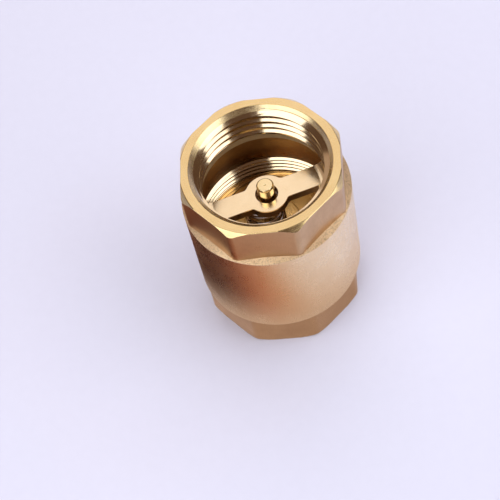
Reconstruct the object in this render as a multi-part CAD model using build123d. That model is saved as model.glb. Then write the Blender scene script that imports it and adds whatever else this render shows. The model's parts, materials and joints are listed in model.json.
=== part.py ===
from build123d import *
import os
from math import cos, radians

os.makedirs("parts", exist_ok=True)

# Spring check valve with two G1 female pipe ends. Millimetres. The valve stands on its
# inlet end: z = 0 is the inlet face, +Z is the way the water flows, and the poppet is shut.

# Shell
overall_length = 54.0
across_flats = 38.5
barrel_radius = 21.0
outlet_octagon_height = 11.0
inlet_octagon_height = 11.5
shoulder_drop = 0.75
flat_edge_rounding = 2.5
corner_turning_radius = 19.5
corner_turning_drop = 1.45

# Pipe sockets: G1 parallel thread, drawn as a plain wall at the thread's crests
pipe_thread_radius = 15.15
pipe_mouth_radius = 17.4
pipe_thread_end = 9.2
pipe_relief_radius = 16.3
outlet_relief_end = 12.6
inlet_relief_end = 11.2

# Screwed joint between the two shells: M38 x 1.5, drawn as a plain fit at the nut's crests
joint_bore_radius = 18.19
joint_spigot_radius = 18.15
joint_pilot_radius = 19.0
joint_counterbore_radius = 19.1
joint_counterbore_depth = 2.7
joint_seat_height = 23.6

# O-ring in the joint
ring_groove_radius = 17.5
ring_groove_start = 0.8
ring_groove_width = 1.8
ring_section_radius = 0.74

# Guide bar across the outlet
bar_angle = 17.5
bar_width = 6.0
bar_top = 41.0
bar_thickness = 2.2
bar_flat_radius = 12.9
bar_gusset_rise = 1.6
hub_radius = 5.45
hub_junction_rounding = 1.0
guide_hole_radius = 2.75

# Valve seat
seat_bore_radius = 12.0
seat_lip_width = 0.7
seat_height = 24.0

# Poppet
stem_radius = 2.15
stem_top = 44.9
stem_flange_radius = 2.7
stem_flange_thickness = 1.2
stem_shank_radius = 2.0
stem_shank_end = 19.4
shank_clearance = 0.04
seal_radius = 13.2
seal_thickness = 2.0
disc_radius = 14.0
disc_thickness = 2.0
disc_skirt_depth = 1.1
disc_edge_chamfer = 0.6
retainer_radius = 10.8
retainer_thickness = 1.2
nut_across_flats = 7.0
nut_thickness = 2.8

# Spring
spring_mean_radius = 4.7
spring_wire_radius = 0.38
spring_turns = 5
spring_offset = -1.4

# Heights that follow from the dimensions above
octagon_base = overall_length - outlet_octagon_height
bar_underside = bar_top - bar_thickness
disc_underside = seat_height + seal_thickness
disc_top = disc_underside + disc_thickness


def turned(points):
    """Solid of revolution about Z from a closed outline of (radius, height) points."""
    outline = Plane.XZ * make_face(Polyline(*points, close=True))
    return revolve(outline, axis=Axis.Z)


def disc(radius, bottom, top):
    """Plain cylinder on the valve's axis between two heights."""
    return Pos(0, 0, bottom) * extrude(Circle(radius), top - bottom)


def octagon(bottom, top):
    """Eight-sided prism with one flat facing -Y and its upright edges rounded."""
    circumradius = across_flats / 2 / cos(radians(22.5))
    prism = Pos(0, 0, bottom) * extrude(RegularPolygon(circumradius, 8, rotation=22.5), top - bottom)
    return fillet(prism.edges().filter_by(Axis.Z), flat_edge_rounding)


def turned_corners(bottom, top, face_at_top):
    """Envelope that the octagon's outer corners are turned to at its end face."""
    reach = barrel_radius + 1
    slope = corner_turning_drop / (across_flats / 2 / cos(radians(22.5)) - corner_turning_radius)
    drop = (reach - corner_turning_radius) * slope
    if face_at_top:
        return turned([(0, bottom), (reach, bottom), (reach, top - drop), (corner_turning_radius, top), (0, top)])
    return turned([(0, bottom), (corner_turning_radius, bottom), (reach, bottom + drop), (reach, top), (0, top)])


def guide_bar():
    """Bar with a central hub, cast across the outlet and rising to the wall at both ends."""
    reach = joint_bore_radius + 0.5
    plan = Rot(0, 0, bar_angle) * Rectangle(2 * reach, bar_width) + Circle(hub_radius)
    inner = [v for v in plan.vertices() if Vector(v).length < hub_radius + 0.5]
    plan = fillet(inner, hub_junction_rounding)
    bar = Pos(0, 0, bar_underside) * extrude(plan, bar_thickness + bar_gusset_rise)
    envelope = turned([
        (0, bar_underside),
        (reach, bar_underside),
        (reach, bar_top + bar_gusset_rise),
        (pipe_relief_radius, bar_top + bar_gusset_rise),
        (bar_flat_radius, bar_top),
        (0, bar_top),
    ])
    hole = disc(guide_hole_radius, bar_underside - 1, bar_top + 1)
    return (bar & envelope) - hole


def outlet_body():
    """Upper shell: octagon, barrel, outlet socket, spring chamber and guide bar."""
    barrel = turned([
        (0, inlet_octagon_height),
        (barrel_radius, inlet_octagon_height),
        (barrel_radius, octagon_base - shoulder_drop),
        (across_flats / 2, octagon_base),
        (0, octagon_base),
    ])
    head = octagon(octagon_base - 2, overall_length)
    head = head & turned_corners(octagon_base - 2, overall_length, True)
    relief_lip = pipe_relief_radius - pipe_thread_radius
    cone_height = joint_bore_radius - pipe_relief_radius
    relief_floor = overall_length - outlet_relief_end
    counterbore_end = inlet_octagon_height + joint_counterbore_depth
    way = turned([
        (0, overall_length),
        (pipe_mouth_radius, overall_length),
        (pipe_thread_radius, overall_length - pipe_mouth_radius + pipe_thread_radius),
        (pipe_thread_radius, overall_length - pipe_thread_end),
        (pipe_relief_radius, overall_length - pipe_thread_end - relief_lip),
        (pipe_relief_radius, relief_floor),
        (joint_bore_radius, relief_floor - cone_height),
        (joint_bore_radius, counterbore_end),
        (joint_counterbore_radius, counterbore_end - 0.5),
        (joint_counterbore_radius, inlet_octagon_height),
        (0, inlet_octagon_height),
    ])
    return barrel + head - way + guide_bar()


def inlet_cap():
    """Lower shell: octagon, inlet socket, screwed spigot and the raised valve seat."""
    head = octagon(0, inlet_octagon_height) & turned_corners(0, inlet_octagon_height, False)
    groove_bottom = inlet_octagon_height + ring_groove_start
    groove_top = groove_bottom + ring_groove_width
    spigot = turned([
        (0, inlet_octagon_height - 1),
        (joint_pilot_radius, inlet_octagon_height - 1),
        (joint_pilot_radius, groove_bottom),
        (ring_groove_radius, groove_bottom),
        (ring_groove_radius, groove_top),
        (joint_spigot_radius, groove_top),
        (joint_spigot_radius, joint_seat_height - 0.6),
        (joint_spigot_radius - 0.6, joint_seat_height),
        (seat_bore_radius + seat_lip_width + 0.3, joint_seat_height),
        (seat_bore_radius + seat_lip_width, seat_height),
        (0, seat_height),
    ])
    relief_lip = pipe_relief_radius - pipe_thread_radius
    way = turned([
        (0, 0),
        (pipe_mouth_radius, 0),
        (pipe_thread_radius, pipe_mouth_radius - pipe_thread_radius),
        (pipe_thread_radius, pipe_thread_end),
        (pipe_relief_radius, pipe_thread_end + relief_lip),
        (pipe_relief_radius, inlet_relief_end),
        (seat_bore_radius, inlet_relief_end + 1.2),
        (seat_bore_radius, seat_height),
        (0, seat_height),
    ])
    return head + spigot - way


def joint_o_ring():
    """Rubber ring in the spigot's groove, shown at its free size."""
    centre_radius = ring_groove_radius + ring_section_radius + 0.04
    centre_height = inlet_octagon_height + ring_groove_start + ring_groove_width / 2
    return Pos(0, 0, centre_height) * Torus(centre_radius, ring_section_radius)


def poppet_stem():
    """Turned stem: guide pin above, spring flange in the middle, screwed shank below."""
    flange_top = disc_top + stem_flange_thickness
    return turned([
        (0, stem_shank_end),
        (stem_shank_radius - 0.4, stem_shank_end),
        (stem_shank_radius, stem_shank_end + 0.4),
        (stem_shank_radius, disc_top),
        (stem_flange_radius, disc_top),
        (stem_flange_radius, flange_top - 0.3),
        (stem_flange_radius - 0.3, flange_top),
        (stem_radius, flange_top),
        (stem_radius, stem_top - 0.35),
        (stem_radius - 0.35, stem_top),
        (0, stem_top),
    ])


def poppet_disc():
    """Brass disc with a shallow skirt that holds the edge of the seal."""
    hole = stem_shank_radius + shank_clearance
    skirt_radius = seal_radius + 0.05
    return turned([
        (hole, disc_underside),
        (skirt_radius, disc_underside),
        (skirt_radius, disc_underside - disc_skirt_depth),
        (disc_radius, disc_underside - disc_skirt_depth),
        (disc_radius, disc_top - disc_edge_chamfer),
        (disc_radius - disc_edge_chamfer, disc_top),
        (hole, disc_top),
    ])


def washer(hole, radius, bottom, top, chamfer_size):
    """Flat ring with its lower outer edge chamfered."""
    return turned([
        (hole, bottom),
        (radius - chamfer_size, bottom),
        (radius, bottom + chamfer_size),
        (radius, top),
        (hole, top),
    ])


def retainer_nut():
    """Hexagon nut under the seal retainer, with its outer corners turned off below."""
    top = seat_height - retainer_thickness
    bottom = top - nut_thickness
    blank = Pos(0, 0, bottom) * extrude(
        RegularPolygon(nut_across_flats / 2 / cos(radians(30)), 6, rotation=30), nut_thickness)
    corner = nut_across_flats / 2 / cos(radians(30))
    envelope = washer(stem_shank_radius + shank_clearance, corner, bottom, top, corner - nut_across_flats / 2)
    return blank & envelope


def valve_spring():
    """Compression spring between the disc and the guide bar, standing loose round the stem."""
    low = disc_top + 0.05 + spring_wire_radius
    high = bar_underside - 0.05 - spring_wire_radius
    path = Pos(spring_offset, 0, low) * Helix((high - low) / spring_turns, high - low, spring_mean_radius)
    section = Plane(origin=path @ 0, z_dir=path % 0) * Circle(spring_wire_radius)
    return sweep(section, path=path, is_frenet=True)


pieces = {
    "outlet_body": outlet_body(),
    "inlet_cap": inlet_cap(),
    "joint_o_ring": joint_o_ring(),
    "poppet_stem": poppet_stem(),
    "poppet_disc": poppet_disc(),
    "disc_seal": washer(stem_shank_radius + shank_clearance, seal_radius, seat_height, disc_underside, 0.2),
    "seal_retainer": washer(
        stem_shank_radius + shank_clearance, retainer_radius, seat_height - retainer_thickness, seat_height, 0.4),
    "retainer_nut": retainer_nut(),
    "valve_spring": valve_spring(),
}

for name, piece in pieces.items():
    export_step(piece, f"parts/{name}.step")
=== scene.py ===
import json
from math import atan2, ceil, cos, hypot, pi, radians, sin, sqrt, tan

import bpy
from mathutils import Matrix, Vector


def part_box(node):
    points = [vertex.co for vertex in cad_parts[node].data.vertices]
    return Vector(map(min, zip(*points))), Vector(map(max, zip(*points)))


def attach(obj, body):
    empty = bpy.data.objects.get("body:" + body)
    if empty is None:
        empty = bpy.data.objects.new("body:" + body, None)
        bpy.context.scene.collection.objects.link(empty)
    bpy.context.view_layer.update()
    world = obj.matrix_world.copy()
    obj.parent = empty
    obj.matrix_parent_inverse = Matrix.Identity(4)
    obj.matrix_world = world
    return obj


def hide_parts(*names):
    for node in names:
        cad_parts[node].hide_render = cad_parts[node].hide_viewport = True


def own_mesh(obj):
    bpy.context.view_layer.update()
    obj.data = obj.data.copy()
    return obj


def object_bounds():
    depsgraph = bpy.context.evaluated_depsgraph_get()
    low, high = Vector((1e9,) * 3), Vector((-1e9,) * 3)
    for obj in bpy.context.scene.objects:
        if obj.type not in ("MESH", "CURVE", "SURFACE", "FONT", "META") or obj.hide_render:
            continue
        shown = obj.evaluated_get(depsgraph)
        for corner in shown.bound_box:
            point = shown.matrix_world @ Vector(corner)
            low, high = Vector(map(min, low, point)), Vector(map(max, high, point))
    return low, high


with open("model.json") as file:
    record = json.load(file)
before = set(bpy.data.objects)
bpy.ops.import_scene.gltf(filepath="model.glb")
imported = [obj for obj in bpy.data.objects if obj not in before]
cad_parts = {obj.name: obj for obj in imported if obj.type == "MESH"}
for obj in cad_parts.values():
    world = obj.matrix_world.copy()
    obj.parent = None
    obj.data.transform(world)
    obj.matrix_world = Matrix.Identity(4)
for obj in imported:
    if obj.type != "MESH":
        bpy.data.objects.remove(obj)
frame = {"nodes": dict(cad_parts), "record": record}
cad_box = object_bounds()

# All shapes below are worked out in millimetres and turned into metres when a mesh is made.
MM = 0.001


# ---------------------------------------------------------------- sizes from the frame
def corner(node, high):
    """A CAD node's low or high corner, in millimetres."""
    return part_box(node)[1 if high else 0] / MM


mounts = {m["name"]: m for m in frame["record"]["mounts"]}
LENGTH = cad_box[1].z / MM
BARREL_RADIUS = corner("outlet_body", True).x
FLAT = corner("inlet_cap", True).x
JOINT_PLANE = corner("outlet_body", False).z
SEAT = corner("inlet_cap", True).z
PIPE_CREST = mounts["outlet_socket"]["dims"]["r_mm"]
STEM_TOP = corner("poppet_stem", True).z
SHANK_END = corner("poppet_stem", False).z
FLANGE_RADIUS = corner("poppet_stem", True).x
DISC_RADIUS = corner("poppet_disc", True).x
DISC_TOP = corner("poppet_disc", True).z
DISC_SKIRT = corner("poppet_disc", False).z
SEAL_RADIUS = corner("disc_seal", True).x
SEAL_TOP = corner("disc_seal", True).z
RETAINER_RADIUS = corner("seal_retainer", True).x
RETAINER_LOW = corner("seal_retainer", False).z
NUT_FLAT = corner("retainer_nut", True).x
NUT_LOW = corner("retainer_nut", False).z

# ---------------------------------------------------------------- sizes of the details
# Octagons and barrel
OCTAGON_BASE = LENGTH - 11.0
SHOULDER_DROP = 0.75
CORNER_ROUNDING = 2.5
TOP_EDGE = 0.12
TURNED_CORNER = 19.5
CORNER_SLOPE = 1.08

# G1 pipe thread, 55 degree Whitworth form
PIPE_PITCH = 2.309
PIPE_ROOT = 16.62
PIPE_FLANK = radians(27.5)
PIPE_CREST_WIDTH = 0.33
MOUTH_RADIUS = 17.4
LEAD_IN_RADIUS = 16.3
LEAD_IN_SHELF = 0.45
THREAD_DEPTH = 9.2
RELIEF_RADIUS = 16.3
OUTLET_RELIEF = 12.6
INLET_RELIEF = 11.2
FIRST_CREST = 2.335

# Screwed joint, M38 x 1.5, 60 degree form
JOINT_PITCH = 1.5
JOINT_CREST = 18.19
JOINT_ROOT = 19.0
JOINT_TOP = 29.9
JOINT_PHASE = 28.25
SPIGOT_CREST = 18.92
SPIGOT_ROOT = 18.12
SPIGOT_TOP = SEAT - 0.4
PILOT_RADIUS = 19.0
PILOT_HEIGHT = 0.8
RING_SEAT_RADIUS = 17.5
RING_SEAT_HEIGHT = 2.6
COUNTERBORE_RADIUS = 19.1
COUNTERBORE_DEPTH = 2.2

# Guide bar
BAR_ANGLE = radians(17.5)
BAR_HALF = 3.0
BAR_TOP = 41.0
BAR_UNDER = 38.8
BAR_FLAT_RADIUS = 12.9
GUSSET_RISE = 1.6
HUB_RADIUS = 5.45
HUB_BLEND = 1.2
GUIDE_HOLE = 2.75

# Poppet
STEM_RADIUS = 2.15
FLANGE_TOP = 29.2
SHANK_RADIUS = 2.0
SHANK_PITCH = 0.7
SHANK_CLEARANCE = 0.04
WASHER_THICKNESS = 1.2
DISH_OUTER = 11.6
DISH_INNER = 7.05
DISH_DEPTH = 0.18
DISH_SLOPE = 0.25
SEAT_BORE = 12.0

# Spring
SPRING_RADIUS = 4.7
WIRE_RADIUS = 0.38
SPRING_SHIFT = -1.4
SPRING_START = radians(200)
SPRING_GRIND = 0.28
SPRING_PLAY = 0.03
ACTIVE_TURNS = 3.4

# Meshes
COLUMNS = 360
ARC_STEP = radians(15)
SHARP_ANGLE = radians(32)
CUTTER_REACH = 25

# Stage
PANEL_DISTANCE = 600
FLOOR_RADIUS = 1000
FLOOR_BEND = 300
FLOOR_WALL = 340
FLOOR_LIGHT = 14.0
# Tones of the glowing floor card: a painted reflection of a hand, dark brown where it was in shade, skin
# tones further out and near the valve.
CARD_RADIUS = 66
HAND_REFLECTION_TONES = [
    (11, (0.055, 0.017, 0.012)),
    (23, (0.15, 0.035, 0.016)),
    (36, (0.40, 0.115, 0.045)),
    (46, (0.55, 0.29, 0.18)),
    (56, (0.72, 0.60, 0.60)),
]
CARD_INNER = (22, 29)
HAND_REFLECTION_INNER_TONE = (0.60, 0.48, 0.45)
WORLD_TONE = (0.10, 0.057, 0.036)


# ---------------------------------------------------------------- mesh tools
def make_mesh(name, points, faces, material):
    """Mesh object from millimetre points, with every face in one material."""
    mesh = bpy.data.meshes.new(name)
    mesh.from_pydata([tuple(c * MM for c in p) for p in points], [], faces)
    mesh.materials.append(material)
    piece = bpy.data.objects.new(name, mesh)
    bpy.context.scene.collection.objects.link(piece)
    return piece


def rounded(points):
    """Outline with arcs in place of the corners that give a rounding as a third number."""
    outline = []
    count = len(points)
    for index, point in enumerate(points):
        radius = point[2] if len(point) > 2 else 0
        here = Vector(point[:2])
        if radius == 0:
            outline.append(tuple(here))
            continue
        before = (Vector(points[index - 1][:2]) - here).normalized()
        after = (Vector(points[(index + 1) % count][:2]) - here).normalized()
        half = before.angle(after) / 2
        centre = here + (before + after).normalized() * (radius / sin(half))
        start = here + before * (radius / tan(half)) - centre
        turn = start.angle_signed(here + after * (radius / tan(half)) - centre)
        steps = max(2, ceil(abs(turn) / ARC_STEP))
        for step in range(steps + 1):
            outline.append(tuple(centre + Matrix.Rotation(-turn * step / steps, 2) @ start))
    return outline


def turned(name, points, material, columns=COLUMNS):
    """Closed solid of revolution about Z. Points are (radius, height[, rounding]), in order."""
    outline = rounded(points)
    area = sum(a[0] * b[1] - b[0] * a[1] for a, b in zip(outline, outline[1:] + outline[:1]))
    if area < 0:
        outline.reverse()
    verts, rings = [], []
    for radius, height in outline:
        if radius < 1e-9:
            rings.append([len(verts)] * columns)
            verts.append((0, 0, height))
            continue
        rings.append(list(range(len(verts), len(verts) + columns)))
        for column in range(columns):
            angle = 2 * pi * column / columns
            verts.append((radius * cos(angle), radius * sin(angle), height))
    faces = []
    for low, high in zip(rings, rings[1:] + rings[:1]):
        if low[0] == low[1] and high[0] == high[1]:
            continue
        for a in range(columns):
            b = (a + 1) % columns
            face = [low[a], low[b], high[b], high[a]]
            faces.append([v for i, v in enumerate(face) if v not in face[:i]])
    return make_mesh(name, verts, faces, material)


def stacked(name, rings, material):
    """Closed solid through a stack of outlines with equal point counts, each a list of (x, y, z)."""
    count = len(rings[0])
    verts = [p for ring in rings for p in ring]
    faces = [list(range(count))[::-1]]
    for level in range(len(rings) - 1):
        for a in range(count):
            b = (a + 1) % count
            low, high = level * count, (level + 1) * count
            faces.append([low + a, low + b, high + b, high + a])
    faces.append(list(range(len(verts) - count, len(verts))))
    return make_mesh(name, verts, faces, material)


def screw_cutter(name, section, pitch, start, height, turns, material, fade_in=0.0, columns=COLUMNS):
    """Closed body of a section swept up a right-handed helix, to cut a thread.

    The section is a list of (radius, height) points whose first radius is its base. At height
    the section passes the angle start. Over fade_in, in turns, it grows out of its base.
    """
    base = section[0][0]
    steps = round(turns * columns)
    count = len(section)
    verts, faces = [], []
    for step in range(steps + 1):
        turn = step / columns
        grow = 1.0
        if fade_in:
            grow = min(grow, turn / fade_in)
        grow = max(grow, 0.02)
        angle = start + 2 * pi * turn
        for radius, rise in section:
            r = base + (radius - base) * grow
            verts.append((r * cos(angle), r * sin(angle), height + pitch * turn + rise))
    for step in range(steps):
        for a in range(count):
            b = (a + 1) % count
            low, high = step * count, (step + 1) * count
            faces.append([low + a, low + b, high + b, high + a])
    faces.append(list(range(count))[::-1])
    faces.append([steps * count + a for a in range(count)])
    area = sum(p[0] * q[1] - q[0] * p[1] for p, q in zip(section, section[1:] + section[:1]))
    if area > 0:
        faces = [face[::-1] for face in faces]
    return make_mesh(name, verts, faces, material)


def combine(base, other, operation):
    """Boolean of two closed solids into base. The other keeps its materials and is removed."""
    modifier = base.modifiers.new("combine", "BOOLEAN")
    modifier.object = other
    modifier.operation = operation
    modifier.solver = "MANIFOLD"
    modifier.material_mode = "TRANSFER"
    bpy.context.view_layer.update()
    graph = bpy.context.evaluated_depsgraph_get()
    mesh = bpy.data.meshes.new_from_object(base.evaluated_get(graph))
    base.modifiers.remove(modifier)
    base.data = mesh
    bpy.data.objects.remove(other)
    return base


# ---------------------------------------------------------------- materials
class Nodes:
    """Short way to build a node tree: each call adds a node, sets its values and links its inputs."""

    def __init__(self, name):
        self.material = bpy.data.materials.new(name)
        self.material.use_nodes = True
        self.tree = self.material.node_tree
        self.tree.nodes.clear()

    def add(self, kind, inputs=None, **settings):
        node = self.tree.nodes.new(kind)
        for key, value in settings.items():
            setattr(node, key, value)
        for key, value in (inputs or {}).items():
            if isinstance(value, bpy.types.NodeSocket):
                self.tree.links.new(value, node.inputs[key])
            else:
                node.inputs[key].default_value = value
        return node

    def noise(self, vector, scale, detail=3.0, roughness=0.6, dimensions="3D"):
        values = {"Vector": vector, "Scale": scale, "Detail": detail, "Roughness": roughness}
        return self.add("ShaderNodeTexNoise", values, noise_dimensions=dimensions).outputs["Fac"]

    def spread(self, value, low, high, to_low, to_high):
        values = {"Value": value, "From Min": low, "From Max": high, "To Min": to_low, "To Max": to_high}
        return self.add("ShaderNodeMapRange", values).outputs["Result"]

    def blend(self, factor, first, second):
        node = self.add("ShaderNodeMix", data_type="RGBA")
        self.tree.links.new(factor, node.inputs[0])
        for socket, value in ((6, first), (7, second)):
            if isinstance(value, bpy.types.NodeSocket):
                self.tree.links.new(value, node.inputs[socket])
            else:
                node.inputs[socket].default_value = (*value, 1)
        return node.outputs[2]

    def distance(self, first, second):
        values = {0: first, 1: second}
        return self.add("ShaderNodeVectorMath", values, operation="DISTANCE").outputs["Value"]

    def bump(self, height, strength, distance, normal=None):
        values = {"Height": height, "Strength": strength, "Distance": distance * MM}
        if normal:
            values["Normal"] = normal
        return self.add("ShaderNodeBump", values).outputs["Normal"]


def about_axis(nodes):
    """Object coordinates, and the (radius, height) vector that turning marks follow."""
    place = nodes.add("ShaderNodeTexCoord").outputs["Object"]
    flat = nodes.add("ShaderNodeVectorMath", {0: place, 1: (1, 1, 0)}, operation="MULTIPLY").outputs[0]
    radius = nodes.add("ShaderNodeVectorMath", {0: flat}, operation="LENGTH").outputs["Value"]
    height = nodes.add("ShaderNodeSeparateXYZ", {0: place}).outputs["Z"]
    lathe = nodes.add("ShaderNodeCombineXYZ", {"X": radius, "Y": height}).outputs[0]
    return place, lathe


def metal(
        name, bright, dull, roughness, marks=0.0, grain=0.0, grain_size=0.15, scratches=0.0,
        speckle=0.0, spots=0.3, anisotropy=0.0):
    """Metal with turning marks about the axis, a cast or blasted grain, scratches and soft tarnish.

    Marks, grain and scratches are bump depths in millimetres, the roughness is a (least, most)
    pair, and the speckle says how dark the pits of the grain are.
    """
    nodes = Nodes(name)
    place, lathe = about_axis(nodes)
    cloud = nodes.noise(place, 160, 4, 0.65)
    fine = nodes.noise(place, 1 / (grain_size * MM), 3, 0.6)
    rings = nodes.noise(lathe, 3600, 4, 0.75, "2D")
    tarnish = nodes.spread(cloud, 0.5 - spots / 2, 0.5 + spots / 2 + 0.12, 0, 1)
    color = nodes.blend(tarnish, bright, dull)
    worn = nodes.spread(nodes.noise(place, 45, 2, 0.5), 0.3, 0.7, 0, 1)
    shade = [c * 0.93 for c in bright]
    color = nodes.blend(worn, color, nodes.blend(tarnish, shade, dull))
    mixed = nodes.add("ShaderNodeMath", {0: cloud, 1: rings if marks else fine}, operation="ADD").outputs[0]
    rough = nodes.spread(mixed, 0.75, 1.25, *roughness)
    normal = None
    if speckle:
        pits = nodes.spread(fine, 0.46, 0.66, 0, speckle)
        color = nodes.blend(pits, color, [c * 0.3 for c in dull])
    if scratches:
        along = {0: place, 1: (1, 1, 0.05)}
        drawn = nodes.add("ShaderNodeVectorMath", along, operation="MULTIPLY").outputs[0]
        lines = nodes.noise(drawn, 5200, 3, 0.7)
        normal = nodes.bump(lines, 1.0, scratches)
        worn_lines = nodes.spread(lines, 0.55, 0.72, 0, 0.30)
        color = nodes.blend(worn_lines, color, [c * 0.6 for c in dull])
    if marks:
        normal = nodes.bump(rings, 1.0, marks, normal)
    if grain:
        normal = nodes.bump(fine, 1.0, grain, normal)
    values = {"Base Color": color, "Roughness": rough, "Metallic": 1.0}
    if normal:
        values["Normal"] = normal
    if anisotropy:
        values["Anisotropic"] = anisotropy
        values["Tangent"] = nodes.add("ShaderNodeTangent", direction_type="RADIAL", axis="Z").outputs[0]
    shader = nodes.add("ShaderNodeBsdfPrincipled", values)
    nodes.add("ShaderNodeOutputMaterial", {"Surface": shader.outputs[0]})
    return nodes.material


def matt(name, light, dark, roughness, grain_size, grain):
    """Non-metal with a fine grain, for the rubber and the floor."""
    nodes = Nodes(name)
    place = nodes.add("ShaderNodeTexCoord").outputs["Object"]
    fine = nodes.noise(place, 1 / (grain_size * MM), 3, 0.6)
    color = nodes.blend(nodes.spread(fine, 0.35, 0.65, 0, 1), light, dark)
    values = {"Base Color": color, "Roughness": roughness, "Normal": nodes.bump(fine, 1.0, grain)}
    shader = nodes.add("ShaderNodeBsdfPrincipled", values)
    nodes.add("ShaderNodeOutputMaterial", {"Surface": shader.outputs[0]})
    return nodes.material


# Darker than the barrel's brass: partly the flats' duller finish, partly painted shade that stands in for
# the dark reflection of a hand.
flats_finish_and_shade_brass = metal(
    "flats_finish_and_shade_brass", (0.62, 0.405, 0.22), (0.51, 0.32, 0.17), (0.26, 0.38),
    grain=0.006, grain_size=0.12, scratches=0.005)
barrel_brass = metal(
    "barrel_brass", (0.92, 0.73, 0.48), (0.86, 0.65, 0.40), (0.24, 0.34),
    grain=0.0015, grain_size=0.30, scratches=0.002, speckle=0.08)
blasted_brass = metal(
    "blasted_brass", (0.94, 0.71, 0.45), (0.80, 0.57, 0.35), (0.45, 0.60),
    grain=0.09, grain_size=0.32, speckle=0.50)
face_brass = metal(
    "face_brass", (0.89, 0.685, 0.355), (0.84, 0.62, 0.30), (0.18, 0.30),
    marks=0.0012, anisotropy=0.3)
mouth_brass = metal("mouth_brass", (0.92, 0.74, 0.44), (0.85, 0.65, 0.35), (0.20, 0.30), marks=0.0015)
thread_brass = metal("thread_brass", (0.94, 0.78, 0.54), (0.86, 0.67, 0.42), (0.08, 0.15), marks=0.0004)
# Painted shade: dark brown brass for the chamber wall and the guide hole, darker than machined brass
# because these recesses lie in shade.
recess_shade_brass = metal("recess_shade_brass", (0.48, 0.29, 0.145), (0.30, 0.17, 0.085), (0.25, 0.40), marks=0.0012)
relief_brass = metal("relief_brass", (0.96, 0.80, 0.56), (0.90, 0.73, 0.49), (0.58, 0.72), marks=0.001)
bar_brass = metal("bar_brass", (0.96, 0.79, 0.53), (0.92, 0.73, 0.46), (0.15, 0.25), grain=0.001)
# Painted shade: very dark brass for the bar's sides and the joint thread's crests, where shade falls.
painted_shade_brass = metal("painted_shade_brass", (0.34, 0.20, 0.10), (0.20, 0.11, 0.055), (0.35, 0.50), grain=0.004)
pin_brass = metal("pin_brass", (0.96, 0.79, 0.47), (0.90, 0.71, 0.38), (0.16, 0.26), marks=0.0006)
disc_brass = metal(
    "disc_brass", (0.98, 0.70, 0.32), (0.92, 0.62, 0.26), (0.26, 0.38),
    marks=0.001, anisotropy=0.7)
wire_steel = metal("wire_steel", (0.62, 0.54, 0.55), (0.34, 0.28, 0.28), (0.12, 0.20), grain=0.001)
rubber = matt("rubber", (0.030, 0.030, 0.031), (0.018, 0.018, 0.018), 0.55, 0.2, 0.006)
floor_white = matt("floor_white", (0.615, 0.618, 0.755), (0.607, 0.610, 0.746), 0.8, 3.0, 0.0)


# ---------------------------------------------------------------- shapes that both shells use
def octagon_outline(inset, height):
    """Points round the octagon, flats facing the axes, with its corners rounded."""
    apothem = FLAT - inset
    rounding = CORNER_ROUNDING - inset
    centre = (apothem - rounding) / cos(pi / 8)
    points = []
    steps = 6
    for side in range(8):
        corner_angle = 2 * pi * side / 8 + pi / 8
        for step in range(steps + 1):
            angle = corner_angle - pi / 8 + (pi / 4) * step / steps
            x = centre * cos(corner_angle) + rounding * cos(angle)
            y = centre * sin(corner_angle) + rounding * sin(angle)
            points.append((x, y, height))
    return points


def octagon_block(name, low, high, edge_low, edge_high):
    """Octagonal prism that runs past the end planes given as edges, bevelled to TOP_EDGE there."""
    rings = []
    if edge_low is None:
        rings.append(octagon_outline(0, low))
    else:
        rings.append(octagon_outline(2 * TOP_EDGE, edge_low - TOP_EDGE))
        rings.append(octagon_outline(0, edge_low + TOP_EDGE))
    if edge_high is None:
        rings.append(octagon_outline(0, high))
    else:
        rings.append(octagon_outline(0, edge_high - TOP_EDGE))
        rings.append(octagon_outline(2 * TOP_EDGE, edge_high + TOP_EDGE))
    return stacked(name, rings, flats_finish_and_shade_brass)


def flip(piece):
    """Turn a piece made for the outlet end over, so that it serves the inlet end."""
    piece.data.transform(Matrix.Translation((0, 0, LENGTH * MM)) @ Matrix.Rotation(pi, 4, "X"))
    return piece


def socket_outline(relief_depth, end_points):
    """Outline of everything to cut away at the outlet end, down to the points given."""
    drop = (CUTTER_REACH - TURNED_CORNER) * CORNER_SLOPE
    lip = RELIEF_RADIUS - PIPE_CREST
    return [
        (0, LENGTH + 5),
        (CUTTER_REACH, LENGTH + 5),
        (CUTTER_REACH, LENGTH - drop),
        (TURNED_CORNER, LENGTH, 0.4),
        (MOUTH_RADIUS, LENGTH, 0.3),
        (LEAD_IN_RADIUS, LENGTH - MOUTH_RADIUS + LEAD_IN_RADIUS),
        (PIPE_CREST, LENGTH - MOUTH_RADIUS + LEAD_IN_RADIUS - LEAD_IN_SHELF),
        (PIPE_CREST, LENGTH - THREAD_DEPTH),
        (RELIEF_RADIUS, LENGTH - THREAD_DEPTH - lip, 0.3),
        (RELIEF_RADIUS, LENGTH - relief_depth, 0.2),
        *end_points,
    ]


def v_section(base, tip, base_half, tip_half, tip_rounding):
    """Four-sided V from a wide base to a narrow tip, for a thread's groove."""
    return rounded([
        (base, base_half),
        (base, -base_half),
        (tip, -tip_half, tip_rounding),
        (tip, tip_half, tip_rounding),
    ])


def pipe_groove(name, material):
    """Cutter for the outlet's G1 thread, from its run-out up through the mouth."""
    spread = tan(PIPE_FLANK)
    crest_gap = (PIPE_PITCH - PIPE_CREST_WIDTH) / 2
    overlap = 0.28
    tip_half = crest_gap - (PIPE_ROOT - PIPE_CREST) * spread
    section = v_section(PIPE_CREST - overlap, PIPE_ROOT, crest_gap + overlap * spread, tip_half, 0.2)
    lowest = LENGTH - THREAD_DEPTH - 0.9
    zero_height = LENGTH - FIRST_CREST + PIPE_PITCH / 2
    below = (zero_height - lowest) / PIPE_PITCH
    above = 1.7
    return screw_cutter(
        name, section, PIPE_PITCH, -2 * pi * below, lowest, below + above, material, fade_in=0.35)


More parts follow.
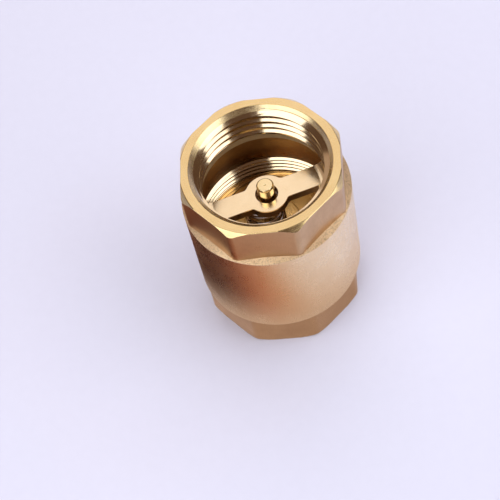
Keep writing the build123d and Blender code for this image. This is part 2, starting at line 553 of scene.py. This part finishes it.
def joint_groove(name, male):
    """Cutter for the shells' joint thread: the barrel's groove, or the spigot's."""
    spread = tan(radians(30))
    crest_half = JOINT_PITCH / 8
    zero_height = JOINT_PHASE
    if male:
        play = 0.03
        base, tip = SPIGOT_CREST + 0.12, SPIGOT_ROOT
        base_half = crest_half + (base - JOINT_CREST) * spread + play
        tip_half = crest_half + (tip - JOINT_CREST) * spread + play
        low, high = JOINT_PLANE + 2.4, SEAT + 1
    else:
        base, tip = JOINT_CREST - 0.12, JOINT_ROOT
        base_half = JOINT_PITCH / 2 - crest_half - (base - JOINT_CREST) * spread
        tip_half = JOINT_PITCH / 2 - crest_half - (tip - JOINT_CREST) * spread
        zero_height += JOINT_PITCH / 2
        low, high = JOINT_PLANE + 1.6, JOINT_TOP - 0.5
    section = v_section(base, tip, base_half, tip_half, 0)
    if male:
        section.reverse()
    below = (zero_height - low) / JOINT_PITCH
    turns = (high - low) / JOINT_PITCH
    return screw_cutter(name, section, JOINT_PITCH, -2 * pi * below, low, turns, thread_brass, columns=240)


# ---------------------------------------------------------------- the guide bar
def bar_outline(inset, height, reach):
    """Plan of the bar and its hub, drawn in from its edge, in order round it."""
    half = BAR_HALF - inset
    hub = HUB_RADIUS - inset
    blend = HUB_BLEND + inset
    centre_x = sqrt((hub + blend) ** 2 - (half + blend) ** 2)
    meet = atan2(half + blend, centre_x)
    steps = 8
    quarter = [(reach, half)]
    for step in range(steps + 1):
        angle = -pi / 2 - (pi / 2 - meet) * step / steps
        quarter.append((centre_x + blend * cos(angle), half + blend + blend * sin(angle)))
    hub_steps = 24
    for step in range(1, hub_steps):
        angle = meet + (pi / 2 - meet) * step / hub_steps
        quarter.append((hub * cos(angle), hub * sin(angle)))
    quarter.append((0, hub))
    upper = quarter + [(-x, y) for x, y in reversed(quarter[:-1])]
    plan = upper + [(-x, -y) for x, y in upper]
    turn = Matrix.Rotation(BAR_ANGLE, 2)
    return [(*(turn @ Vector(p)), height) for p in plan]


def guide_bar():
    """Bar and hub, flat on top in the middle and rising to the wall in turned steps."""
    reach = JOINT_CREST + 0.5
    edge = 0.15
    bar = stacked("bar", [
        bar_outline(0, BAR_UNDER, reach),
        bar_outline(0, BAR_TOP - edge, reach),
        bar_outline(edge, BAR_TOP, reach),
    ], bar_brass)
    ends = stacked("bar_ends", [
        bar_outline(0, BAR_UNDER + 0.5, reach),
        bar_outline(0, BAR_TOP + 4, reach),
    ], bar_brass)
    steps = []
    for radius in (BAR_FLAT_RADIUS, BAR_FLAT_RADIUS + 0.4):
        steps += [(radius + 0.08, BAR_TOP - 0.12), (radius + 0.20, BAR_TOP + 0.01)]
    for part in range(1, 12):
        share = 0.25 + 0.75 * part / 12
        radius = BAR_FLAT_RADIUS + (RELIEF_RADIUS - BAR_FLAT_RADIUS) * share
        steps.append((radius, BAR_TOP + GUSSET_RISE * share ** 3))
    envelope = turned("bar_envelope", [
        (BAR_FLAT_RADIUS - 0.06, BAR_UNDER + 0.2),
        (reach + 1, BAR_UNDER + 0.2),
        (reach + 1, BAR_TOP + GUSSET_RISE),
        (RELIEF_RADIUS, BAR_TOP + GUSSET_RISE),
        *reversed(steps),
        (BAR_FLAT_RADIUS - 0.06, BAR_TOP - 0.02),
    ], bar_brass)
    combine(ends, envelope, "INTERSECT")
    combine(bar, ends, "UNION")
    # The guide hole's wall takes the dark brass of painted shade.
    hole = turned("hole", [
        (0, BAR_UNDER - 1),
        (GUIDE_HOLE, BAR_UNDER - 1),
        (GUIDE_HOLE, BAR_TOP - 0.12),
        (GUIDE_HOLE + 0.3, BAR_TOP + 0.18),
        (0, BAR_TOP + 0.18),
    ], recess_shade_brass)
    combine(bar, hole, "DIFFERENCE")
    return bar


# ---------------------------------------------------------------- the two shells
def outlet_body():
    """Upper shell: octagon, barrel, outlet socket, joint thread, chamber and guide bar."""
    body = octagon_block("outlet_body_shell", OCTAGON_BASE - 2, None, None, LENGTH)
    barrel = turned("barrel", [
        (0, JOINT_PLANE),
        (BARREL_RADIUS, JOINT_PLANE, 0.15),
        (BARREL_RADIUS, OCTAGON_BASE - SHOULDER_DROP, 0.25),
        (FLAT, OCTAGON_BASE),
        (0, OCTAGON_BASE),
    ], barrel_brass)
    combine(body, barrel, "UNION")
    way = turned("way", socket_outline(OUTLET_RELIEF, [
        (JOINT_CREST, LENGTH - OUTLET_RELIEF - (JOINT_CREST - RELIEF_RADIUS)),
        (JOINT_CREST, JOINT_TOP, 0.05),
        (JOINT_ROOT + 0.05, JOINT_TOP - 0.15, 0.1),
        (JOINT_ROOT + 0.05, JOINT_TOP - 0.75, 0.1),
        (JOINT_CREST, JOINT_TOP - 1.25),
        (JOINT_CREST, JOINT_PLANE + 2.7),
        (COUNTERBORE_RADIUS, JOINT_PLANE + COUNTERBORE_DEPTH),
        (COUNTERBORE_RADIUS, JOINT_PLANE - 1),
        (0, JOINT_PLANE - 1),
    ]), thread_brass)
    combine(body, way, "DIFFERENCE")
    combine(body, guide_bar(), "UNION")
    combine(body, pipe_groove("outlet_groove", thread_brass), "DIFFERENCE")
    combine(body, joint_groove("barrel_groove", False), "DIFFERENCE")
    return body


def inlet_cap():
    """Lower shell: octagon, inlet socket, valve seat and the spigot that screws into the barrel."""
    cap = octagon_block("inlet_cap_shell", None, JOINT_PLANE, 0, None)
    spigot = turned("spigot", [
        (0, JOINT_PLANE - 2),
        (PILOT_RADIUS, JOINT_PLANE - 2),
        (PILOT_RADIUS, JOINT_PLANE + PILOT_HEIGHT, 0.1),
        (RING_SEAT_RADIUS, JOINT_PLANE + PILOT_HEIGHT, 0.2),
        (RING_SEAT_RADIUS, JOINT_PLANE + RING_SEAT_HEIGHT, 0.2),
        (SPIGOT_ROOT, JOINT_PLANE + RING_SEAT_HEIGHT),
        (SPIGOT_CREST, JOINT_PLANE + 3.4),
        (SPIGOT_CREST, SPIGOT_TOP - 0.8),
        (SPIGOT_CREST - 0.8, SPIGOT_TOP, 0.1),
        (SEAT_BORE + 1.0, SPIGOT_TOP),
        (SEAT_BORE + 0.7, SEAT, 0.1),
        (0, SEAT),
    ], thread_brass)
    combine(cap, spigot, "UNION")
    way = flip(turned("way", socket_outline(INLET_RELIEF, [
        (SEAT_BORE, LENGTH - INLET_RELIEF - 1.2, 0.3),
        (SEAT_BORE, LENGTH - SEAT + 0.3),
        (SEAT_BORE + 0.2, LENGTH - SEAT),
        (SEAT_BORE + 0.5, LENGTH - SEAT - 1),
        (0, LENGTH - SEAT - 1),
    ]), thread_brass))
    combine(cap, way, "DIFFERENCE")
    combine(cap, flip(pipe_groove("inlet_groove", thread_brass)), "DIFFERENCE")
    combine(cap, joint_groove("spigot_groove", True), "DIFFERENCE")
    return cap


# ---------------------------------------------------------------- the poppet and the spring
def poppet_stem():
    """Guide pin, collar and the M4 shank, with a turning centre in the pin's top."""
    stem = turned("stem", [
        (0, SHANK_END),
        (SHANK_RADIUS - 0.4, SHANK_END),
        (SHANK_RADIUS, SHANK_END + 0.4),
        (SHANK_RADIUS, DISC_TOP),
        (FLANGE_RADIUS, DISC_TOP),
        (FLANGE_RADIUS, FLANGE_TOP, 0.3),
        (STEM_RADIUS, FLANGE_TOP, 0.25),
        (STEM_RADIUS, STEM_TOP - 0.38, 0.1),
        (STEM_RADIUS - 0.34, STEM_TOP, 0.12),
        (0.30, STEM_TOP),
        (0.16, STEM_TOP - 0.10),
        (0, STEM_TOP - 0.16),
    ], pin_brass, 72)
    spread = tan(radians(30))
    root = SHANK_RADIUS - 0.43
    tip_half = 0.044
    base = SHANK_RADIUS + 0.06
    section = v_section(base, root, tip_half + (base - root) * spread, tip_half, 0)
    section.reverse()
    low = SHANK_END - SHANK_PITCH
    turns = (SEAL_TOP - 2 - low) / SHANK_PITCH
    groove = screw_cutter("shank_groove", section, SHANK_PITCH, 0, low, turns, pin_brass, columns=72)
    return combine(stem, groove, "DIFFERENCE")


def poppet_disc():
    """Disc with a dished top, a skirt round the seal and a turned edge."""
    hole = SHANK_RADIUS + SHANK_CLEARANCE
    return turned("disc", [
        (hole, SEAL_TOP),
        (SEAL_RADIUS + 0.05, SEAL_TOP),
        (SEAL_RADIUS + 0.05, DISC_SKIRT, 0.1),
        (DISC_RADIUS, DISC_SKIRT, 0.2),
        (DISC_RADIUS, DISC_TOP - 0.6, 0.15),
        (DISC_RADIUS - 0.6, DISC_TOP, 0.15),
        (DISH_OUTER, DISC_TOP, 0.1),
        (DISH_OUTER - DISH_SLOPE, DISC_TOP - DISH_DEPTH, 0.1),
        (DISH_INNER + DISH_SLOPE, DISC_TOP - DISH_DEPTH, 0.1),
        (DISH_INNER, DISC_TOP, 0.1),
        (hole, DISC_TOP),
    ], disc_brass, 180)


def disc_seal():
    """Flat rubber ring that shuts on the seat, between the disc and the washer."""
    hole = SHANK_RADIUS + SHANK_CLEARANCE
    return turned("seal", [
        (hole, RETAINER_LOW + WASHER_THICKNESS),
        (SEAL_RADIUS, RETAINER_LOW + WASHER_THICKNESS, 0.25),
        (SEAL_RADIUS, SEAL_TOP, 0.1),
        (hole, SEAL_TOP),
    ], rubber, 120)


def seal_retainer():
    """Washer that holds the seal against the disc."""
    hole = SHANK_RADIUS + SHANK_CLEARANCE
    return turned("retainer", [
        (hole, RETAINER_LOW, 0.1),
        (RETAINER_RADIUS, RETAINER_LOW, 0.3),
        (RETAINER_RADIUS, RETAINER_LOW + WASHER_THICKNESS),
        (hole, RETAINER_LOW + WASHER_THICKNESS),
    ], disc_brass, 120)


def retainer_nut():
    """Hexagon nut, its corners turned to cones on both faces."""
    top = RETAINER_LOW
    hole = SHANK_RADIUS + SHANK_CLEARANCE
    corner_radius = NUT_FLAT / cos(radians(30))
    hexagon = []
    for i in range(6):
        angle = radians(30 + 60 * i)
        hexagon.append((corner_radius * cos(angle), corner_radius * sin(angle)))
    nut = stacked("nut", [[(x, y, z) for x, y in hexagon] for z in (NUT_LOW, top)], disc_brass)
    chamfer = (corner_radius - NUT_FLAT) * tan(radians(30)) + 0.1
    combine(nut, turned("nut_envelope", [
        (hole, NUT_LOW + 0.25),
        (hole + 0.25, NUT_LOW),
        (NUT_FLAT - 0.1, NUT_LOW),
        (corner_radius + 0.1, NUT_LOW + chamfer),
        (corner_radius + 0.1, top - chamfer),
        (NUT_FLAT - 0.1, top),
        (hole, top),
    ], disc_brass, 120), "INTERSECT")
    return nut


def valve_spring():
    """Compression spring with one closed turn at each end, both ends ground flat."""
    low, high = DISC_TOP + SPRING_PLAY, BAR_UNDER - SPRING_PLAY
    bottom, top = low + WIRE_RADIUS - SPRING_GRIND, high - WIRE_RADIUS + SPRING_GRIND
    closed = 2 * WIRE_RADIUS + SPRING_PLAY
    pitch = (top - bottom - 2 * closed) / ACTIVE_TURNS
    turns = ACTIVE_TURNS + 2
    columns, sides = 48, 14
    steps = round(turns * columns)
    verts, faces = [], []
    for step in range(steps + 1):
        turn = step / columns
        ends = min(turn, turns - turn)
        rise = closed * min(ends, 1) + pitch * max(ends - 1, 0)
        rise += 0.12 * (pitch - closed) * max(0, 1 - abs(ends - 1) / 0.25) ** 2
        height = bottom + rise if turn <= turns / 2 else top - rise
        angle = 2 * pi * turn + SPRING_START
        for side in range(sides):
            around = 2 * pi * side / sides
            r = SPRING_RADIUS + WIRE_RADIUS * cos(around)
            z = height + WIRE_RADIUS * sin(around)
            verts.append((SPRING_SHIFT + r * cos(angle), r * sin(angle), z))
    for step in range(steps):
        for a in range(sides):
            b = (a + 1) % sides
            this, following = step * sides, (step + 1) * sides
            faces.append([this + a, following + a, following + b, this + b])
    faces.append(list(range(sides)))
    faces.append([steps * sides + a for a in reversed(range(sides))])
    spring = make_mesh("spring", verts, faces, wire_steel)
    slab = turned("spring_slab", [(0, low), (9, low), (9, high), (0, high)], wire_steel, 48)
    return combine(spring, slab, "INTERSECT")


# ---------------------------------------------------------------- putting the pieces in place
def paint(piece, material, test):
    """Give a material to the faces whose (radius, height) and normal pass the test."""
    mesh = piece.data
    mesh.materials.append(material)
    index = len(mesh.materials) - 1
    for face in mesh.polygons:
        centre = face.center / MM
        if test(hypot(centre.x, centre.y), centre.z, face.normal):
            face.material_index = index


def finished(piece, node, body):
    """Shade a piece with soft curves and sharp corners, and tie it to the frame."""
    piece.name = node + "_visual"
    piece.data.shade_smooth()
    piece.data.set_sharp_from_angle(angle=SHARP_ANGLE)
    weighted = piece.modifiers.new("weighted", "WEIGHTED_NORMAL")
    weighted.keep_sharp = True
    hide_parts(node)
    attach(piece, body)
    return piece


body = outlet_body()
relief_base = LENGTH - OUTLET_RELIEF
relief_top = LENGTH - THREAD_DEPTH - 1
paint(body, face_brass, lambda r, z, n: (
    z > LENGTH - 2 and r > MOUTH_RADIUS - 0.3 and n.z > 0.35))
paint(body, blasted_brass, lambda r, z, n: (
    OCTAGON_BASE - 1 < z < OCTAGON_BASE + 0.1 and r > FLAT - 0.5 and n.z > 0.2))
# Painted shade: the chamber wall inside the shell gets the dark brass.
paint(body, recess_shade_brass, lambda r, z, n: (
    JOINT_TOP + 0.1 < z < relief_top and RELIEF_RADIUS - 0.2 < r < 18.5 and n.z < 0.9))
paint(body, relief_brass, lambda r, z, n: (
    relief_base - 0.1 < z < relief_top
    and RELIEF_RADIUS - 0.3 < r < RELIEF_RADIUS + 0.1 and abs(n.z) < 0.6))
paint(body, mouth_brass, lambda r, z, n: (
    z > LENGTH - 3 and r < MOUTH_RADIUS + 0.1 and 0.62 < n.z < 0.78))
# Painted shade: the crests of the barrel's joint thread get the dark brass.
paint(body, painted_shade_brass, lambda r, z, n: (
    JOINT_PLANE + 2 < z < JOINT_TOP - 0.5 and 18 < r < 18.3 and abs(n.z) < 0.2))
# Painted shade: the sides of the bar and hub get the dark brass.
paint(body, painted_shade_brass, lambda r, z, n: (
    BAR_UNDER - 0.1 < z < BAR_TOP - 0.16 and GUIDE_HOLE + 0.2 < r < RELIEF_RADIUS and n.z > -0.5))
finished(body, "outlet_body", "shell")

cap = inlet_cap()
paint(cap, face_brass, lambda r, z, n: (
    z < 2 and r > MOUTH_RADIUS - 0.3 and n.z < -0.35))
paint(cap, mouth_brass, lambda r, z, n: (
    z < 3 and r < MOUTH_RADIUS + 0.1 and -0.78 < n.z < -0.62))
finished(cap, "inlet_cap", "shell")

finished(poppet_stem(), "poppet_stem", "poppet")
finished(poppet_disc(), "poppet_disc", "poppet")
finished(disc_seal(), "disc_seal", "poppet")
finished(seal_retainer(), "seal_retainer", "poppet")
finished(retainer_nut(), "retainer_nut", "poppet")

# At full lift the spring keeps 5.8 mm of the 10.8 mm between the bar and the disc.
spring = finished(valve_spring(), "valve_spring", "shell")
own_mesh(spring)

for slot in frame["nodes"]["joint_o_ring"].material_slots:
    slot.material = rubber


# ---------------------------------------------------------------- camera, light and floor
def camera():
    """The photograph's viewpoint, worked out from the octagon's and the thread's known sizes."""
    azimuth, elevation, roll = radians(11.252), radians(58.610), radians(-14.623)
    aim = Vector((-0.00412, -0.01749, 0.04402))
    distance = 0.33257
    back = Vector((sin(azimuth) * cos(elevation), -cos(azimuth) * cos(elevation), sin(elevation)))
    level = Vector((cos(azimuth), sin(azimuth), 0))
    upward = back.cross(level)
    right = level * cos(roll) + upward * sin(roll)
    up = upward * cos(roll) - level * sin(roll)
    data = bpy.data.cameras.new("camera")
    data.lens = 100.96
    data.sensor_width = 36
    data.clip_start = 0.01
    view = bpy.data.objects.new("camera", data)
    bpy.context.scene.collection.objects.link(view)
    turn = Matrix((right, up, back)).transposed().to_4x4()
    view.matrix_world = Matrix.Translation(aim + back * distance) @ turn
    bpy.context.scene.camera = view


def panel(name, corners, radiance):
    """Glowing sheet that the camera doesn't see, as a softbox or a lit wall.

    Corners are (azimuth, elevation) in degrees, as seen from the valve's mouth, from +X towards +Y.
    """
    nodes = Nodes(name)
    glow = nodes.add("ShaderNodeEmission", {"Color": (*radiance, 1)}).outputs[0]
    nodes.add("ShaderNodeOutputMaterial", {"Surface": glow})
    points = []
    for azimuth, elevation in corners:
        a, e = radians(azimuth), radians(elevation)
        away = Vector((cos(a) * cos(e), sin(a) * cos(e), sin(e))) * PANEL_DISTANCE
        points.append(tuple(away + Vector((0, 0, LENGTH * 0.8))))
    sheet = make_mesh(name, points, [list(range(len(points)))], nodes.material)
    sheet.visible_camera = False
    sheet.visible_shadow = False


def floor_light():
    """Wide soft light from above that brightens the floor, and that reflections don't see."""
    data = bpy.data.lights.new("floor_light", "AREA")
    data.size = 1.6
    data.energy = FLOOR_LIGHT
    data.color = (0.95, 0.97, 1.0)
    light = bpy.data.objects.new("floor_light", data)
    light.location = (0.36, 0.16, 1.1)
    light.visible_glossy = False
    bpy.context.scene.collection.objects.link(light)


def painted_hand_reflection():
    """Glowing card on the floor that only reflections see: a painted reflection of a hand, brown in the
    middle, where the hand was.
    """
    centre = Vector((-32, -7, 0))
    inner = Vector((0, -6, 0))
    nodes = Nodes("painted_hand_reflection")
    place = nodes.add("ShaderNodeTexCoord").outputs["Object"]
    away = nodes.distance(place, centre * MM)
    tones = nodes.add("ShaderNodeValToRGB", {0: nodes.spread(away, 0, CARD_RADIUS * MM, 0, 1)})
    ramp = tones.color_ramp
    while len(ramp.elements) < len(HAND_REFLECTION_TONES):
        ramp.elements.new(0.5)
    for element, (position, color) in zip(ramp.elements, HAND_REFLECTION_TONES):
        element.position = position / CARD_RADIUS
        element.color = (*color, 1)
    beside = nodes.spread(nodes.distance(place, inner * MM), CARD_INNER[0] * MM, CARD_INNER[1] * MM, 1, 0)
    color = nodes.blend(beside, tones.outputs["Color"], HAND_REFLECTION_INNER_TONE)
    glow = nodes.add("ShaderNodeEmission", {"Color": color}).outputs[0]
    clear = nodes.add("ShaderNodeBsdfTransparent").outputs[0]
    fade = nodes.spread(away, 0.88 * CARD_RADIUS * MM, CARD_RADIUS * MM, 0, 1)
    mixed = nodes.add("ShaderNodeMixShader", {0: fade, 1: glow, 2: clear})
    nodes.add("ShaderNodeOutputMaterial", {"Surface": mixed.outputs[0]})
    sides = 64
    points = []
    for side in range(sides):
        angle = 2 * pi * side / sides
        points.append((centre.x + CARD_RADIUS * cos(angle), centre.y + CARD_RADIUS * sin(angle), 0))
    card = make_mesh("painted_hand_reflection", points, [list(range(sides))], nodes.material)
    card.location = (0, 0, 0.0005)
    card.visible_camera = False
    card.visible_diffuse = False
    card.visible_shadow = False
    card.visible_transmission = False


camera()
panel("right_softbox", [(-51, 15), (4, 15), (60, 72), (-3, 72)], (1.9, 1.88, 1.85))
panel("left_softbox", [(-166, 15), (-97, 15), (-101, 74), (-193, 74)], (1.9, 1.88, 1.85))
panel("back_wall", [(64, 5), (124, 5), (124, 76), (64, 76)], (1.08, 0.98, 0.94))
panel("back_wall_end", [(124, 5), (150, 5), (150, 76), (124, 76)], (0.45, 0.33, 0.26))
painted_hand_reflection()
floor_light()

world = bpy.data.worlds.new("studio")
world.use_nodes = True
world.node_tree.nodes["Background"].inputs["Color"].default_value = (*WORLD_TONE, 1)
world.node_tree.nodes["Background"].inputs["Strength"].default_value = 1.0
bpy.context.scene.world = world
bpy.context.scene.view_settings.view_transform = "Standard"

floor = turned("floor", [
    (0, 0),
    (FLOOR_RADIUS, 0, FLOOR_BEND),
    (FLOOR_RADIUS, FLOOR_WALL),
    (FLOOR_RADIUS + 5, FLOOR_WALL),
    (FLOOR_RADIUS + 5, -5),
    (0, -5),
], floor_white)
floor.data.shade_smooth()
floor.data.set_sharp_from_angle(angle=SHARP_ANGLE)
